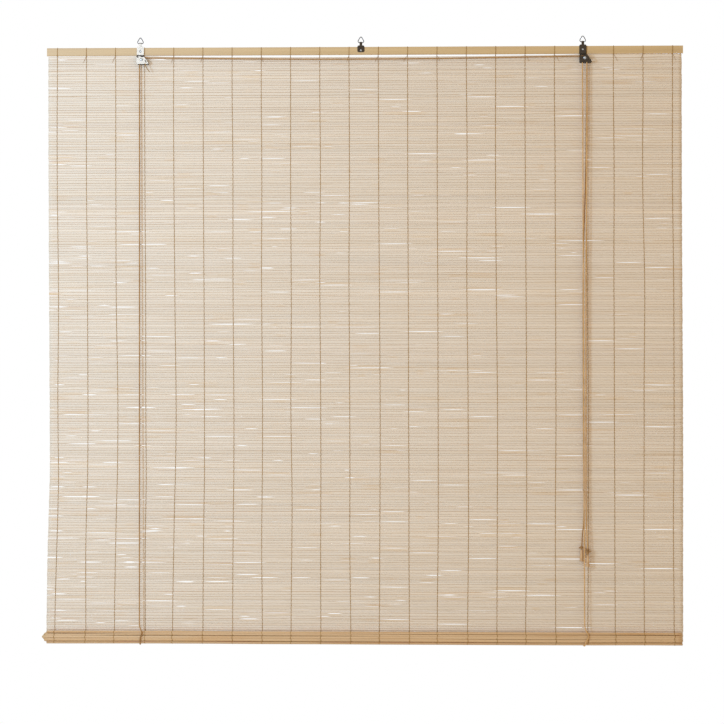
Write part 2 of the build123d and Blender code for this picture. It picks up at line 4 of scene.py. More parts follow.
import bpy
import numpy as np
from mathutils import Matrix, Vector


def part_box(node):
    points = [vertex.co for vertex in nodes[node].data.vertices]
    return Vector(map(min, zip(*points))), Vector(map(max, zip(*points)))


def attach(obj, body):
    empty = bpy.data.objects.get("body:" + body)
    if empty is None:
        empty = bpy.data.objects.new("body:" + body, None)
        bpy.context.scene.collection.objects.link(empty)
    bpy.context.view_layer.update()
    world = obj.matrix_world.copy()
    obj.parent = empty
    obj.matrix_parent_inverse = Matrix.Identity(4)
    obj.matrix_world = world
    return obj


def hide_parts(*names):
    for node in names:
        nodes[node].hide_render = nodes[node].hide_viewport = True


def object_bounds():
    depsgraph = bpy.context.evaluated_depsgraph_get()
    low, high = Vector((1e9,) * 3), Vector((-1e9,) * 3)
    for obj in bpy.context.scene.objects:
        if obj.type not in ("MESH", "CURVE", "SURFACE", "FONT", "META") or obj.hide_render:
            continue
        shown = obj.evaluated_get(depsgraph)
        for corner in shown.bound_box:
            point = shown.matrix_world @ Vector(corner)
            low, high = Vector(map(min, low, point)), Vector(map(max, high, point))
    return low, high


# A bamboo roll up blind in metres: X to the right, Y back to the wall, Z up.
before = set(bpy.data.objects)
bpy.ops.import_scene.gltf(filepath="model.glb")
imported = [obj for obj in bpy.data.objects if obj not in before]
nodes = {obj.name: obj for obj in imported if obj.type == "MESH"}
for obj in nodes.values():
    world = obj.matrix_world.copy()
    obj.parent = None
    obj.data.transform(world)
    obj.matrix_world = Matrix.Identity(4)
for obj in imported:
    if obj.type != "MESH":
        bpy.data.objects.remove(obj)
cad_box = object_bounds()

mat_low, mat_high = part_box("bamboo_mat")
roll_low, roll_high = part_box("mat_roll")
rail_low, rail_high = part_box("head_rail")

# Sizes as in the solids
stick_count = 240
stick_thickness = 0.0019
stick_pitch = (mat_high.z - mat_low.z) / stick_count
mat_width = mat_high.x - mat_low.x
mat_mid_y = (mat_low.y + mat_high.y) / 2
thread_count = 22
thread_margin = 0.026
hanger_spacing = 0.626
hanger_places = (-hanger_spacing, 0.0, hanger_spacing)
plate_width = 0.020
thread_width = 0.0012
cord_diameter = 0.0032

# Roll at the foot, wound flat round the bottom rail
roll_rise = 0.0198
roll_half_turns = 3
layer_pitch = 0.0025
outer_turn_radius = 0.00725
turn_z = mat_low.z


def new_object(name, data):
    """An object with the data, in the scene."""
    obj = bpy.data.objects.new(name, data)
    bpy.context.collection.objects.link(obj)
    return obj


# Camera and light

camera_distance = 5.0
camera_yaw = math.radians(1.43)
view_center = Vector((0.003, mat_mid_y, -0.9185))
view_width = 2.0498
sensor_width = 36.0


def make_camera():
    """A camera at the height of the mat's middle, a little to the right of it."""
    data = bpy.data.cameras.new("camera")
    data.sensor_width = sensor_width
    data.lens = sensor_width * camera_distance / view_width
    camera = new_object("camera", data)
    toward_camera = Vector((math.sin(camera_yaw), -math.cos(camera_yaw), 0))
    camera.location = view_center + camera_distance * toward_camera
    camera.rotation_euler = (math.pi / 2, 0, camera_yaw)
    bpy.context.scene.camera = camera


ambient_color = (0.752, 0.69, 0.585, 1)
key_color = (0.32, 0.58, 1.0)
key_power = 87.0
key_place = Vector((-2.2, -2.4, -0.25))
key_target = Vector((-0.1, 0.0, -0.6))
key_width = 0.4
key_height = 1.2
glint_color = (0.56, 0.74, 1.0)
glint_power = 12.0
glint_place = Vector((-0.99, -2.4, 0.37))
glint_target = Vector((-0.626, 0.0, -0.05))
glint_width = 0.26
glint_height = 0.34
back_color = (0.42, 0.68, 1.0)
back_power = 55.0
back_place = Vector((1.7, 2.6, -0.5))
back_target = Vector((0.1, 0.0, -0.8))
back_width = 0.9
back_height = 1.2


def make_lamp(name, place, target, width, height, power, color):
    """A rectangle of light that faces a target."""
    lamp = bpy.data.lights.new(name, "AREA")
    lamp.shape = "RECTANGLE"
    lamp.size = width
    lamp.size_y = height
    lamp.energy = power
    lamp.color = color
    holder = new_object(name, lamp)
    holder.location = place
    holder.rotation_euler = (target - place).to_track_quat("-Z", "Y").to_euler()


def make_light():
    """Warm light all round that looks white, cool lamps at the left and behind, and a glint at the left."""
    world = bpy.data.worlds.new("studio")
    bpy.context.scene.world = world
    world.use_nodes = True
    tree = world.node_tree
    tree.nodes.clear()
    rays = tree.nodes.new("ShaderNodeLightPath")
    seen = rays.outputs["Is Camera Ray"]
    for kind in ("Is Glossy Ray", "Is Transmission Ray"):
        either = tree.nodes.new("ShaderNodeMath")
        either.operation = "MAXIMUM"
        tree.links.new(seen, either.inputs[0])
        tree.links.new(rays.outputs[kind], either.inputs[1])
        seen = either.outputs[0]
    ambient = tree.nodes.new("ShaderNodeBackground")
    ambient.inputs["Color"].default_value = ambient_color
    white = tree.nodes.new("ShaderNodeBackground")
    white.inputs["Color"].default_value = (1, 1, 1, 1)
    mix = tree.nodes.new("ShaderNodeMixShader")
    tree.links.new(seen, mix.inputs["Fac"])
    tree.links.new(ambient.outputs[0], mix.inputs[1])
    tree.links.new(white.outputs[0], mix.inputs[2])
    output = tree.nodes.new("ShaderNodeOutputWorld")
    tree.links.new(mix.outputs[0], output.inputs["Surface"])

    make_lamp("key", key_place, key_target, key_width, key_height, key_power, key_color)
    make_lamp("glint", glint_place, glint_target, glint_width, glint_height, glint_power, glint_color)
    make_lamp("back fill", back_place, back_target, back_width, back_height, back_power, back_color)


# Materials


def srgb(red, green, blue):
    """A colour given as it shows on a screen, from 0 to 255, as linear values."""
    def linear(value):
        share = value / 255
        return share / 12.92 if share <= 0.04045 else ((share + 0.055) / 1.055) ** 2.4
    return (linear(red), linear(green), linear(blue), 1)


class Shader:
    """A material with one Principled shader, and short calls that add nodes to it."""

    def __init__(self, name, roughness, metallic=0.0):
        self.material = bpy.data.materials.new(name)
        self.material.use_nodes = True
        self.tree = self.material.node_tree
        self.tree.nodes.clear()
        self.surface = self.add("ShaderNodeBsdfPrincipled")
        self.surface.inputs["Roughness"].default_value = roughness
        self.surface.inputs["Metallic"].default_value = metallic
        output = self.add("ShaderNodeOutputMaterial")
        self.tree.links.new(self.surface.outputs[0], output.inputs["Surface"])
        self.place = self.add("ShaderNodeTexCoord").outputs["Object"]

    def add(self, kind):
        return self.tree.nodes.new(kind)

    def put(self, value, socket):
        """Links a socket, or sets a constant."""
        if isinstance(value, bpy.types.NodeSocket):
            self.tree.links.new(value, socket)
        else:
            socket.default_value = value

    def stretch(self, scale, turn=(0, 0, 0)):
        mapping = self.add("ShaderNodeMapping")
        self.put(self.place, mapping.inputs["Vector"])
        mapping.inputs["Scale"].default_value = scale
        mapping.inputs["Rotation"].default_value = turn
        return mapping.outputs[0]

    def noise(self, waves, detail=2.0, rough=0.5):
        """Noise with so many waves a metre along each axis."""
        texture = self.add("ShaderNodeTexNoise")
        self.put(self.stretch(waves), texture.inputs["Vector"])
        texture.inputs["Scale"].default_value = 1.0
        texture.inputs["Detail"].default_value = detail
        texture.inputs["Roughness"].default_value = rough
        return texture.outputs["Fac"]

    def attribute(self, name):
        node = self.add("ShaderNodeAttribute")
        node.attribute_name = name
        return node.outputs["Color"]

    def ramp(self, value, stops):
        """A colour between two stops, each a position and a colour."""
        node = self.add("ShaderNodeValToRGB")
        self.put(value, node.inputs["Fac"])
        for element, (position, color) in zip(node.color_ramp.elements, stops):
            element.position = position
            element.color = color
        return node.outputs["Color"]

    def mix(self, share, first, second, blend="MIX"):
        node = self.add("ShaderNodeMix")
        node.data_type = "RGBA"
        node.blend_type = blend
        self.put(share, node.inputs["Factor"])
        first_color, second_color = [socket for socket in node.inputs if socket.type == "RGBA"]
        self.put(first, first_color)
        self.put(second, second_color)
        return next(socket for socket in node.outputs if socket.type == "RGBA")

    def color(self, value):
        self.put(value, self.surface.inputs["Base Color"])

    def roughness(self, value, low, high):
        """Spreads a value from 0 to 1 over a range of roughness."""
        node = self.add("ShaderNodeMapRange")
        self.put(value, node.inputs["Value"])
        node.inputs["To Min"].default_value = low
        node.inputs["To Max"].default_value = high
        self.put(node.outputs[0], self.surface.inputs["Roughness"])

    def bump(self, height, distance, strength):
        node = self.add("ShaderNodeBump")
        self.put(height, node.inputs["Height"])
        node.inputs["Distance"].default_value = distance
        node.inputs["Strength"].default_value = strength
        self.put(node.outputs[0], self.surface.inputs["Normal"])


def grey(value):
    return (value, value, value, 1)


def stick_material(name, color, streak_color):
    """Split bamboo: fibres along each stick, warm streaks, and a colour per vertex: the stick's own colour
    with painted shade at its edges.
    """
    streak_waves = (2.6, 40.0, 150.0)
    fibre_waves = (14.0, 900.0, 1500.0)
    between_fibres = (0.91, 0.865, 0.80, 1)
    shader = Shader(name, roughness=0.6)
    tone_and_edge_shade = shader.attribute("tone_and_edge_shade")
    streaks = shader.noise(streak_waves, detail=3.0, rough=0.6)
    streak_share = shader.ramp(streaks, [(0.58, grey(0)), (0.82, grey(0.45))])
    base = shader.mix(streak_share, color, streak_color)
    fibres = shader.noise(fibre_waves, detail=3.0, rough=0.65)
    fibre_color = shader.ramp(fibres, [(0.3, between_fibres), (0.7, grey(1.0))])
    toned_and_shaded = shader.mix(1.0, base, tone_and_edge_shade, "MULTIPLY")
    shader.color(shader.mix(1.0, toned_and_shaded, fibre_color, "MULTIPLY"))
    shader.roughness(fibres, low=0.48, high=0.72)
    shader.bump(fibres, distance=0.00015, strength=0.35)
    return shader.material


def slat_material():
    """Planed bamboo slat: straight grain along X over soft bands."""
    band_waves = (0.9, 30.0, 70.0)
    grain_waves = (9.0, 700.0, 1300.0)
    shader = Shader("bamboo slat", roughness=0.45)
    bands = shader.noise(band_waves)
    base = shader.ramp(bands, [(0.25, srgb(213, 173, 116)), (0.75, srgb(188, 149, 96))])
    grain = shader.noise(grain_waves, detail=4.0, rough=0.7)
    grain_color = shader.ramp(grain, [(0.3, grey(0.87)), (0.7, grey(1.0))])
    shader.color(shader.mix(1.0, base, grain_color, "MULTIPLY"))
    shader.roughness(grain, low=0.36, high=0.55)
    shader.bump(grain, distance=0.0002, strength=0.4)
    return shader.material


def thread_material():
    """Twisted cotton, olive tan, with fine plies."""
    ply_waves = (900.0, 900.0, 500.0)
    shader = Shader("warp thread", roughness=0.85)
    plies = shader.noise(ply_waves)
    shader.color(shader.ramp(plies, [(0.3, srgb(134, 92, 26)), (0.7, srgb(178, 130, 52))]))
    shader.bump(plies, distance=0.0002, strength=0.6)
    return shader.material


def cord_material(name, light, dark):
    """Braided cord: two slanting sets of plies, between a light and a dark colour."""
    braid_slant = 0.9
    braid_scale = 260.0
    braid_unevenness = 1.5
    tint_waves = (30.0, 30.0, 30.0)
    shader = Shader(name, roughness=0.8)
    braid = []
    for turn in (braid_slant, -braid_slant):
        wave = shader.add("ShaderNodeTexWave")
        shader.put(shader.stretch((1, 1, 1), (0, turn, 0)), wave.inputs["Vector"])
        wave.inputs["Scale"].default_value = braid_scale
        wave.inputs["Distortion"].default_value = braid_unevenness
        braid.append(wave.outputs["Fac"])
    weave = shader.mix(0.5, braid[0], braid[1])
    tint = shader.noise(tint_waves)
    base = shader.ramp(tint, [(0.3, light), (0.7, dark)])
    weave_color = shader.ramp(weave, [(0.2, grey(0.72)), (0.8, grey(1.0))])
    shader.color(shader.mix(1.0, base, weave_color, "MULTIPLY"))
    shader.bump(weave, distance=0.0004, strength=0.7)
    return shader.material


def metal_material(name, color, low, high):
    """Plated steel with faint scratches and a cloudy polish, between two values of roughness."""
    cloud_waves = (160.0, 160.0, 160.0)
    cloud_shades = (0.85, 1.15)
    scratch_waves = (2200.0, 2200.0, 90.0)
    shader = Shader(name, roughness=low, metallic=1.0)
    clouds = shader.noise(cloud_waves, detail=3.0)
    scratches = shader.noise(scratch_waves)
    dark, light = [(*[shade * channel for channel in color], 1) for shade in cloud_shades]
    shader.color(shader.ramp(clouds, [(0.3, dark), (0.7, light)]))
    shader.roughness(clouds, low, high)
    shader.bump(scratches, distance=0.00004, strength=0.4)
    return shader.material


def wood_material():
    """Turned hardwood with upright grain under a thin varnish."""
    grain_waves = (420.0, 420.0, 40.0)
    shader = Shader("turned wood", roughness=0.4)
    grain = shader.noise(grain_waves, detail=4.0, rough=0.6)
    shader.color(shader.ramp(grain, [(0.3, srgb(168, 120, 70)), (0.7, srgb(215, 170, 114))]))
    shader.roughness(grain, low=0.32, high=0.5)
    shader.bump(grain, distance=0.0002, strength=0.4)
    return shader.material


def floor_material():
    """Pale seamless paper."""
    tint_waves = (3.0, 3.0, 3.0)
    shader = Shader("pale floor", roughness=0.9)
    tint = shader.noise(tint_waves)
    shader.color(shader.ramp(tint, [(0.3, grey(0.84)), (0.7, grey(0.88))]))
    return shader.material


# Pieces


def piece(name, verts, faces, body, material, replaced=()):
    """A smooth mesh piece that rides on a body and takes a slot's finish."""
    mesh = bpy.data.meshes.new(name)
    mesh.from_pydata([tuple(v) for v in verts], [], faces)
    mesh.polygons.foreach_set("use_smooth", [True] * len(mesh.polygons))
    mesh.update()
    obj = new_object(name, mesh)
    mesh.materials.append(material)
    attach(obj, body)
    if replaced:
        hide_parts(*replaced)
    return obj


def join(shapes):
    """Several (vertices, faces) as one."""
    verts = []
    faces = []
    for more_verts, more_faces in shapes:
        start = len(verts)
        verts.extend(more_verts)
        faces.extend(tuple(start + i for i in face) for face in more_faces)
    return verts, faces


def skin(rings, sides, closed=False):
    """Faces between rings of points, with a cap at each end unless the last ring joins the first."""
    faces = []
    for i in range(rings if closed else rings - 1):
        here = i * sides
        there = (i + 1) % rings * sides
        for k in range(sides):
            after = (k + 1) % sides
            faces.append((here + k, here + after, there + after, there + k))
    if not closed:
        faces.append(tuple(range(sides))[::-1])
        faces.append(tuple((rings - 1) * sides + k for k in range(sides)))
    return faces


first_side_guide = (0.31, 0.85, 0.42)


def tube(points, radius, sides, closed=False):
    """Vertices and faces of a round tube along a line of points."""
    points = np.array(points, float)
    ahead = np.roll(points, -1, 0) - points
    behind = points - np.roll(points, 1, 0)
    if not closed:
        ahead[-1] = behind[-1]
        behind[0] = ahead[0]
    ahead /= np.linalg.norm(ahead, axis=1)[:, None]
    behind /= np.linalg.norm(behind, axis=1)[:, None]
    tangents = ahead + behind
    tangents /= np.linalg.norm(tangents, axis=1)[:, None]
    side = np.cross(tangents[0], first_side_guide)
    verts = []
    for point, tangent in zip(points, tangents):
        side = side - tangent * np.dot(side, tangent)
        side /= np.linalg.norm(side)
        other = np.cross(tangent, side)
        for k in range(sides):
            angle = 2 * math.pi * k / sides
            verts.append(point + radius * (math.cos(angle) * side + math.sin(angle) * other))
    return verts, skin(len(points), sides, closed)


def turned(profile, center, axis, sides=48):
    """A solid of revolution: profile gives (radius, place along the axis) from end to end."""
    axis = Vector(axis).normalized()
    side = axis.orthogonal().normalized()
    other = axis.cross(side)
    verts = []
    for radius, along in profile:
        for k in range(sides):
            angle = 2 * math.pi * k / sides
            spoke = math.cos(angle) * side + math.sin(angle) * other
            verts.append(Vector(center) + along * axis + radius * spoke)
    return verts, skin(len(profile), sides)


# Cords, along the routes of the solids, with the pull ends moved a little to follow the photograph

left_cord_points = [
    (-0.6260, 0.0075, -0.0392),
    (-0.6260, 0.0075, -1.6994),
    (-0.6260, 0.0075, -1.7186),
    (-0.6255, -0.0159, -1.7186),
    (-0.6248, -0.0162, -1.6980),
    (-0.6185, -0.0176, -1.6845),
    (-0.6270, -0.0148, -1.6680),
    (-0.6270, -0.0147, -1.6490),
    (-0.6279, -0.0057, -0.0754),
    (-0.6279, -0.0056, -0.0562),
    (-0.6087, -0.0056, -0.0562),
    (0.0000, -0.0056, -0.0640),
    (0.6175, -0.0056, -0.0562),
    (0.6367, -0.0056, -0.0562),
    (0.6367, -0.0056, -0.0754),
    (0.6362, -0.0056, -0.2600),
    (0.6330, -0.0058, -0.4200),
    (0.6260, -0.0062, -0.6400),
    (0.6266, -0.0068, -0.9000),
    (0.6276, -0.0072, -1.1700),
    (0.6298, -0.0074, -1.3640),
    (0.6228, -0.0075, -1.4100),
    (0.6220, -0.0075, -1.4670),
]
right_cord_points = [
    (0.6276, 0.0075, -0.0392),
    (0.6276, 0.0075, -1.6994),
    (0.6276, 0.0075, -1.7186),
    (0.6305, -0.0159, -1.7186),
    (0.6345, -0.0164, -1.7040),
    (0.6425, -0.0178, -1.6890),
    (0.6300, -0.0149, -1.6680),
    (0.6299, -0.0148, -1.6460),
    (0.6242, -0.0105, -0.0754),
    (0.6241, -0.0104, -0.0562),
    (0.6367, -0.0104, -0.0562),
    (0.6367, -0.0104, -0.0754),
    (0.6370, -0.0106, -0.2500),
    (0.6350, -0.0110, -0.4800),
    (0.6336, -0.0114, -0.7600),
    (0.6332, -0.0118, -1.0900),
    (0.6338, -0.0120, -1.3700),
    (0.6384, -0.0120, -1.4180),
    (0.6386, -0.0120, -1.4820),
]


def make_cord(name, points, material):
    """A smooth curve with the route's points as its control points."""
    curve = bpy.data.curves.new(name, "CURVE")
    curve.dimensions = "3D"
    spline = curve.splines.new("NURBS")
    spline.points.add(len(points) - 1)
    for point, place in zip(spline.points, points):
        point.co = (*place, 1)
    spline.order_u = 3
    spline.use_endpoint_u = True
    spline.resolution_u = 12
    curve.bevel_depth = cord_diameter / 2
    curve.bevel_resolution = 3
    curve.use_fill_caps = True
    curve.materials.append(material)
    cord = new_object(name, curve)
    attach(cord, "blind")
    return cord


# Knots and tassels

knot_wrap_share = 0.46
knot_lean = 0.35
knot_lean_share = 0.5
knot_turn_steps = 18
knot_end_share = 0.72
knot_swell_share = 0.28
knot_fill_share = 0.86
knot_sides = 10
bridge_start = 0.6
bridge_sweep = 2.3
bridge_steps = 12
bridge_fill_share = 0.9


def knot_shape(center, half_width, half_height, turns, seed):
    """Wraps of the cord round itself and a bridge over them, in a space of the given half sizes."""
    wrap_radius = cord_diameter * knot_wrap_share
    reach = half_width - wrap_radius
    rise = half_height - wrap_radius
    rng = random.Random(seed)
    lean = rng.uniform(-knot_lean, knot_lean)
    wraps = []
    for i in range(turns * knot_turn_steps + 1):
        share = i / (turns * knot_turn_steps)
        angle = 2 * math.pi * turns * share + seed
        swell = reach * (knot_end_share + knot_swell_share * math.sin(math.pi * share))
        x = swell * math.cos(angle)
        y = swell * math.sin(angle)
        z = rise * (2 * share - 1) * knot_fill_share + lean * x * knot_lean_share
        wraps.append((center.x + x, center.y + y, center.z + max(-rise, min(rise, z))))
    bridge = []
    for i in range(bridge_steps + 1):
        share = i / bridge_steps
        angle = seed + bridge_start + bridge_sweep * share
        x = reach * math.cos(angle)
        y = reach * math.sin(angle)
        bridge.append((center.x + x, center.y + y, center.z + rise * (1 - 2 * share) * bridge_fill_share))
    return join([tube(line, wrap_radius, knot_sides) for line in (wraps, bridge)])


yarn_count = 7
yarn_radius = 0.0004
yarn_sides = 6
yarn_steps = 6
yarn_reach = (0.0035, 0.0065)
yarn_rise = (-0.001, 0.005)
yarn_droop = (0.001, 0.004)
yarn_depth = (-0.0015, 0.001)


def frayed_end(start, side, seed):
    """The cut end of a cord: loose yarns that fan out to one side and droop."""
    rng = random.Random(seed)
    yarns = []
    for _ in range(yarn_count):
        reach = side * rng.uniform(*yarn_reach)
        rise = rng.uniform(*yarn_rise)
        droop = rng.uniform(*yarn_droop)
        depth = rng.uniform(*yarn_depth)
        line = []
        for k in range(yarn_steps + 1):
            share = k / yarn_steps
            up = rise * share - droop * share * share
            line.append((start.x + reach * share, start.y + depth * share, start.z + up))
        yarns.append(tube(line, yarn_radius, yarn_sides))
    return join(yarns)


def make_knot(name, node, turns, material, seed, frayed_side=0):
    """A wrapped knot in the space of the node's solid, with the cord's cut end where a side is given."""
    low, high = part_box(node)
    center = (low + high) / 2
    half_width = (high.x - low.x) / 2
    shapes = [knot_shape(center, half_width, (high.z - low.z) / 2, turns, seed)]
    if frayed_side:
        start = center + Vector((frayed_side * (half_width - cord_diameter / 2), 0, 0))
        shapes.append(frayed_end(start, frayed_side, seed))
    verts, faces = join(shapes)
    return piece(name, verts, faces, "blind", material, [node])


anchor_turns = 3
anchor_seeds = (6, 7)


def make_anchor_knots(material):
    """The two knots that stop the fixed ends of the cords on their staples."""
    low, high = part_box("anchor_knots")
    half = (high.y - low.y) / 2
    middle = (low + high) / 2
    shapes = []
    for seed, x in zip(anchor_seeds, (low.x + half, high.x - half)):
        center = Vector((x, middle.y, middle.z))
        shapes.append(knot_shape(center, half, (high.z - low.z) / 2, anchor_turns, seed))
    verts, faces = join(shapes)
    return piece("anchor_wraps", verts, faces, "blind", material, ["anchor_knots"])


hole_clearance = 0.0003
cavity_radius = 0.0043
cavity_depth = 0.012
cavity_flare = 0.0004
cavity_flare_depth = 0.0006
cavity_round = 0.0008
bell_shares = [
    (0.50, 1.000), (0.55, 0.985), (0.56, 0.95), (0.53, 0.915), (0.50, 0.90), (0.52, 0.88), (0.57, 0.80),
    (0.62, 0.65), (0.69, 0.48), (0.78, 0.30), (0.89, 0.13), (0.97, 0.045), (1.00, 0.02), (0.97, 0.0),
]


def make_tassel(name, node, material):
    """A turned wooden bell with a bead at its neck, hollow from below."""
    low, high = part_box(node)
    center = (low + high) / 2
    foot = (high.x - low.x) / 2
    length = high.z - low.z
    hole = cord_diameter / 2 + hole_clearance
    profile = [(hole, cavity_depth), (hole, length)]
    profile += [(foot * width, length * height) for width, height in bell_shares]
    profile += [(cavity_radius + cavity_flare, 0.0), (cavity_radius, cavity_flare_depth)]
    profile += [(cavity_radius, cavity_depth - cavity_round), (cavity_radius - cavity_round, cavity_depth)]
    profile += [(hole, cavity_depth)]
    verts, faces = turned(profile, (center.x, center.y, low.z), (0, 0, 1))
    # The profile ends where it starts, so the two caps are left out.
    return piece(name, verts, faces[:-2], "blind", material, [node])


# Weave

thread_pitch = (mat_width - 2 * thread_margin) / (thread_count - 1)


def thread_x(index):
    """Where a warp thread runs; one that would pass under a hanger plate steps beside it."""
    x = mat_low.x + thread_margin + index * thread_pitch
    for hanger_x in hanger_places:
        if abs(x - hanger_x) < plate_width / 2 + thread_width:
            x = hanger_x + plate_width / 2 + thread_width
    return x


sway_reach = 0.0042
sway_full_share = 0.7
foot_spread = 0.0095
foot_spread_share = 0.72


def sway(x, z):
    """How far the uneven weave stands to the right at a place: more down the mat, spread at the foot."""
    down = min(1, max(0, (mat_high.z - z) / (mat_high.z - mat_low.z)))
    across = (x - mat_low.x) / mat_width
    swing = sway_reach * math.sin(math.pi / 2 * min(1, down / sway_full_share) ** 2)
    foot = max(0, (down - foot_spread_share) / (1 - foot_spread_share))
    return swing - foot_spread * math.sin(math.pi / 2 * foot) * (1 - across) ** 3


def wander(rng, places, step, amount):
    """A smooth random line over the places, with one bend in each step."""
    count = int((places[-1] - places[0]) / step) + 3
    values = np.array([rng.gauss(0, amount) for _ in range(count)])
    at = (places - places[0]) / step
    first = at.astype(int)
    share = (1 - np.cos(math.pi * (at - first))) / 2
    return values[first] * (1 - share) + values[first + 1] * share


def lens(places, middle, length):
    """1 at the middle and 0 at both ends of an opening."""
    offset = (places - middle) / (length / 2)
    return np.sqrt(np.clip(1 - offset**2, 0, 1))


# The slits in the solid wall, by the same rule
slit_count = 120
slit_length = 0.130
slit_height = 0.0028
slit_least_share = 0.6
slit_lower_bias = 0.8
plastic_number = 1.32471795724


def slit_places():
    """The row, middle, length and height of each slit in the solid wall."""
    for k in range(slit_count):
        row_share = ((k + 1) / plastic_number) % 1
        bay_share = ((k + 1) / plastic_number**2) % 1
        row = 1 + int(row_share**slit_lower_bias * (stick_count - 2))
        bay = int(bay_share * (thread_count - 1))
        middle = (thread_x(bay) + thread_x(bay + 1)) / 2
        size_share = slit_least_share + (1 - slit_least_share) * ((row_share + bay_share) % 1)
        yield row, middle, slit_length * size_share, slit_height * size_share


# The fine openings between sticks, more of them lower down and higher ones to the left
opening_count = 5.8
opening_count_down = 3.0
opening_left_bias = 1.2
opening_left_bias_down = 0.5
opening_length = 0.026
opening_length_spread = (0.45, 0.5)
opening_length_most = 0.14
opening_height_least = 0.0004
opening_height_more = 0.0028
opening_height_bias = 1.9
opening_height_left = 1.2
opening_height_loss = 0.95


def fine_opening(rng, down):
    """The middle, length and height of one opening, at a share of the way down the mat."""
    middle = mat_low.x + mat_width * rng.random() ** (opening_left_bias + opening_left_bias_down * down)
    length = min(opening_length_most, opening_length * math.exp(rng.gauss(*opening_length_spread)))
    height = opening_height_least + opening_height_more * rng.random() ** opening_height_bias
    height *= opening_height_left - opening_height_loss * (middle - mat_low.x) / mat_width
    return middle, length, height


edge_seed = 11
station_count = 160
top_rise_left = 0.0010
top_rise_right = 0.0028
top_slack = 0.0048
top_slack_middle = 0.02
top_slack_length = 1.2
quiet_foot_rows = 5
uneven_stick = 0.0007
stick_bow = 0.00042
outer_stick_bow = 0.0001
gap_left = 0.00024
gap_right = 0.00008
gap_range = (0.35, 1.5)
gap_step = 0.7 * thread_pitch
gap_change = 0.5
gap_change_limits = (-0.9, 1.5)
slit_open_share = 0.8


def stick_edges():
    """The boundary lines between sticks, how far apart the two sticks stand, and the openings there."""
    rng = random.Random(edge_seed)
    places = np.linspace(mat_low.x, mat_high.x, station_count)
    across = (places - mat_low.x) / mat_width
    lines = []
    gaps = []
    openings = []
    for i in range(stick_count + 1):
        inner = 0 < i < stick_count - quiet_foot_rows
        down = i / stick_count
        z = mat_high.z - i * stick_pitch + (rng.gauss(0, uneven_stick) if inner else 0)
        lines.append(z + wander(rng, places, thread_pitch, stick_bow if inner else outer_stick_bow))
        base = (gap_left + (gap_right - gap_left) * across) * rng.uniform(*gap_range)
        gap = base * (1 + np.clip(wander(rng, places, gap_step, gap_change), *gap_change_limits))
        count = int(rng.uniform(0, opening_count) + opening_count_down * down * rng.random()) if inner else 0
        here = []
        for _ in range(count):
            middle, length, height = fine_opening(rng, down)
            gap = gap + height * lens(places, middle, length)
            here.append((middle, length))
        gaps.append(gap)
        openings.append(here)
    lines[0] += top_rise_left + (top_rise_right - top_rise_left) * across
    lines[0] -= top_slack * lens(places, top_slack_middle, top_slack_length)
    for row, middle, length, height in slit_places():
        if row <= stick_count - quiet_foot_rows:
            slit = height * slit_open_share * lens(places, middle, length) ** 2
            gaps[row] = np.maximum(gaps[row], slit)
            openings[row].append((middle, length))
    return places, lines, gaps, openings


tone_families = [
    (1.00, 1.00, 1.00),
    (1.01, 0.995, 0.975),
    (0.99, 0.98, 0.975),
    (1.01, 1.00, 0.985),
    (0.985, 0.965, 0.935),
    (1.015, 1.015, 1.015),
]
tone_brightness = (0.965, 1.02)
tone_step = 0.22
tone_change = 0.018
tone_limits = (0.2, 1.1)
warm_streak = np.array((0.07, 0.20, 0.40))
streak_chance = 0.5
streak_strength = (0.3, 1.4)
own_streak_counts = (0, 0, 0, 0, 1)
own_streak_length = (0.04, 0.2)
face_streak_share = 0.3
# Painted shade in the joins between sticks: the edge rows of each stick are darkened and warmed, more at the
# left than at the right
edge_shade_tone = np.array((0.94, 0.82, 0.64))
edge_shade_depth = 1.6
edge_shade_left = 1.2
edge_shade_loss = 0.6
edge_shade_step = 0.09
edge_shade_change = 0.6


def stick_tones_and_edge_shade(rng, places, openings, edge_shade_scale=1.0):
    """A stick's colour along its length: its own colour, soft changes, thin warm lines, and painted shade
    along the two edges where it meets the next stick, deeper to the left.
    """
    family = np.array(rng.choice(tone_families)) * rng.uniform(*tone_brightness)
    tones = np.ones((len(places), 3)) * family
    tones *= (1 + wander(rng, places, tone_step, tone_change))[:, None]
    streaks = [opening for opening in openings if rng.random() < streak_chance]
    for _ in range(rng.choice(own_streak_counts)):
        streaks.append((rng.uniform(places[0], places[-1]), rng.uniform(*own_streak_length)))
    warmth = np.zeros((len(places), 3))
    for middle, length in streaks:
        warmth += lens(places, middle, length)[:, None] * warm_streak * rng.uniform(*streak_strength)
    faces = np.clip(tones - face_streak_share * warmth, *tone_limits)
    across = (places - places[0]) / (places[-1] - places[0])
    edges = []
    for _ in range(2):
        depth = edge_shade_depth * rng.random() ** 2
        depth = depth * np.clip(1 + wander(rng, places, edge_shade_step, edge_shade_change), 0, 2)
        depth *= edge_shade_scale * (edge_shade_left - edge_shade_loss * across)
        # Painted shade darkens the edge rows where sticks meet; the warm streaks taken off there are the
        # bamboo's own colour
        edge = faces * (1 - (1 - edge_shade_tone) * depth[:, None]) - warmth
        edges.append(np.clip(edge, *tone_limits))
    return np.stack([edges[0], faces, faces, edges[1], faces, faces], axis=1).reshape(-1, 3)


# Sections of a stick as shares of its height and thickness, for the mat and for the roll
section_shares = [(-0.5, 0.0), (-0.4, -0.5), (0.4, -0.5), (0.5, 0.0), (0.4, 0.5), (-0.4, 0.5)]
roll_section_shares = [(-0.5, 0.1), (-0.45, -0.4), (0.45, -0.4), (0.5, 0.1), (0.45, 0.5), (-0.45, 0.5)]


def stick_skin(rings):
    """The faces of a stick, whose sections run the other way round than a tube's."""
    return [face[:1] + face[:0:-1] for face in skin(rings, len(section_shares))]


